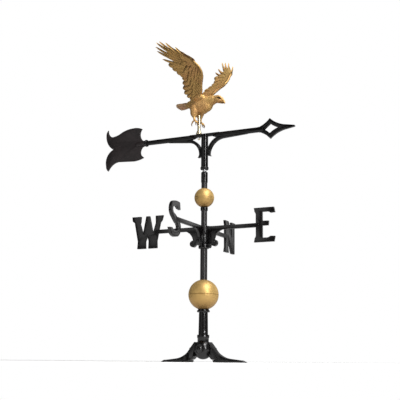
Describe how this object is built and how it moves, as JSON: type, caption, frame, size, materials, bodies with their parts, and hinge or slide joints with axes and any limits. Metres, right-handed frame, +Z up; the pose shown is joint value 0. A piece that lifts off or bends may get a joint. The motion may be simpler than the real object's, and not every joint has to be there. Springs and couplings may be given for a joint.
{
  "type": "weather vane",
  "caption": "Roof-mounted weather vane with a gilded eagle over a swivelling arrow, lettered compass arms, two globes on a pole and a pitch-adjustable bracket.",
  "frame": {"origin": "on the pole's axis, in the plane of the feet's soles, which is the centre of the four roof screws", "axes": "+X is east and the way the arrow points at rest, +Y is north, +Z is up along the pole"},
  "size_m": [0.7766, 0.554, 1.1679],
  "materials": {
    "black_casting": "satin",
    "black_tube": "satin",
    "gold_globe": "satin",
    "eagle_gold": "satin",
    "steel": "satin",
    "pale_brass": "satin",
    "bushing": "matte"
  },
  "bodies": {
    "mast": {"socket_casting": "black_casting", "pivot_bolt": "black_casting", "pivot_washers": "steel", "pivot_nut": "steel", "base_tube": "black_casting", "base_set_screws": "steel", "globe_collar": "black_casting", "large_globe_lower": "gold_globe", "large_globe_upper": "gold_globe", "lower_pole": "black_tube", "hub_collar": "black_casting", "hub_collar_screw": "black_tube", "upper_tube": "black_tube", "small_globe_ferrule": "black_casting", "small_globe_lower": "gold_globe", "small_globe_upper": "gold_globe", "bearing_cap": "black_tube", "spindle": "steel"},
    "west_foot": {"west_foot": "black_casting"},
    "east_foot": {"east_foot": "black_casting"},
    "compass": {"ew_arms": "black_casting", "ns_arms": "black_casting", "arm_set_screws": "steel"},
    "vane": {"vane_tube": "black_tube", "lower_bushing": "bushing", "upper_bushing": "bushing", "thrust_plug": "steel", "arrow": "black_casting", "tail_fin": "black_casting", "tail_collar": "black_casting", "tail_set_screw": "steel", "eagle_post": "pale_brass", "post_flange": "pale_brass", "post_nut": "steel", "eagle_body": "eagle_gold", "right_wing": "eagle_gold", "left_wing": "eagle_gold", "eagle_tail": "eagle_gold", "right_talon": "eagle_gold", "left_talon": "eagle_gold", "wing_screws": "steel"}
  },
  "joints": [
    {"name": "vane_spin", "type": "hinge", "parent": "mast", "child": "vane", "pos_m": [0, 0, 0.8], "axis": [0, 0, 1], "continuous": true},
    {"name": "compass_turn", "type": "hinge", "parent": "mast", "child": "compass", "pos_m": [0, 0, 0.45], "axis": [0, 0, 1], "continuous": true},
    {"name": "west_foot_pitch", "type": "hinge", "parent": "mast", "child": "west_foot", "pos_m": [0, 0, 0.044], "axis": [0, -1, 0], "range_deg": [0, 45]},
    {"name": "east_foot_pitch", "type": "hinge", "parent": "mast", "child": "east_foot", "pos_m": [0, 0, 0.044], "axis": [0, 1, 0], "range_deg": [0, 45]}
  ]
}
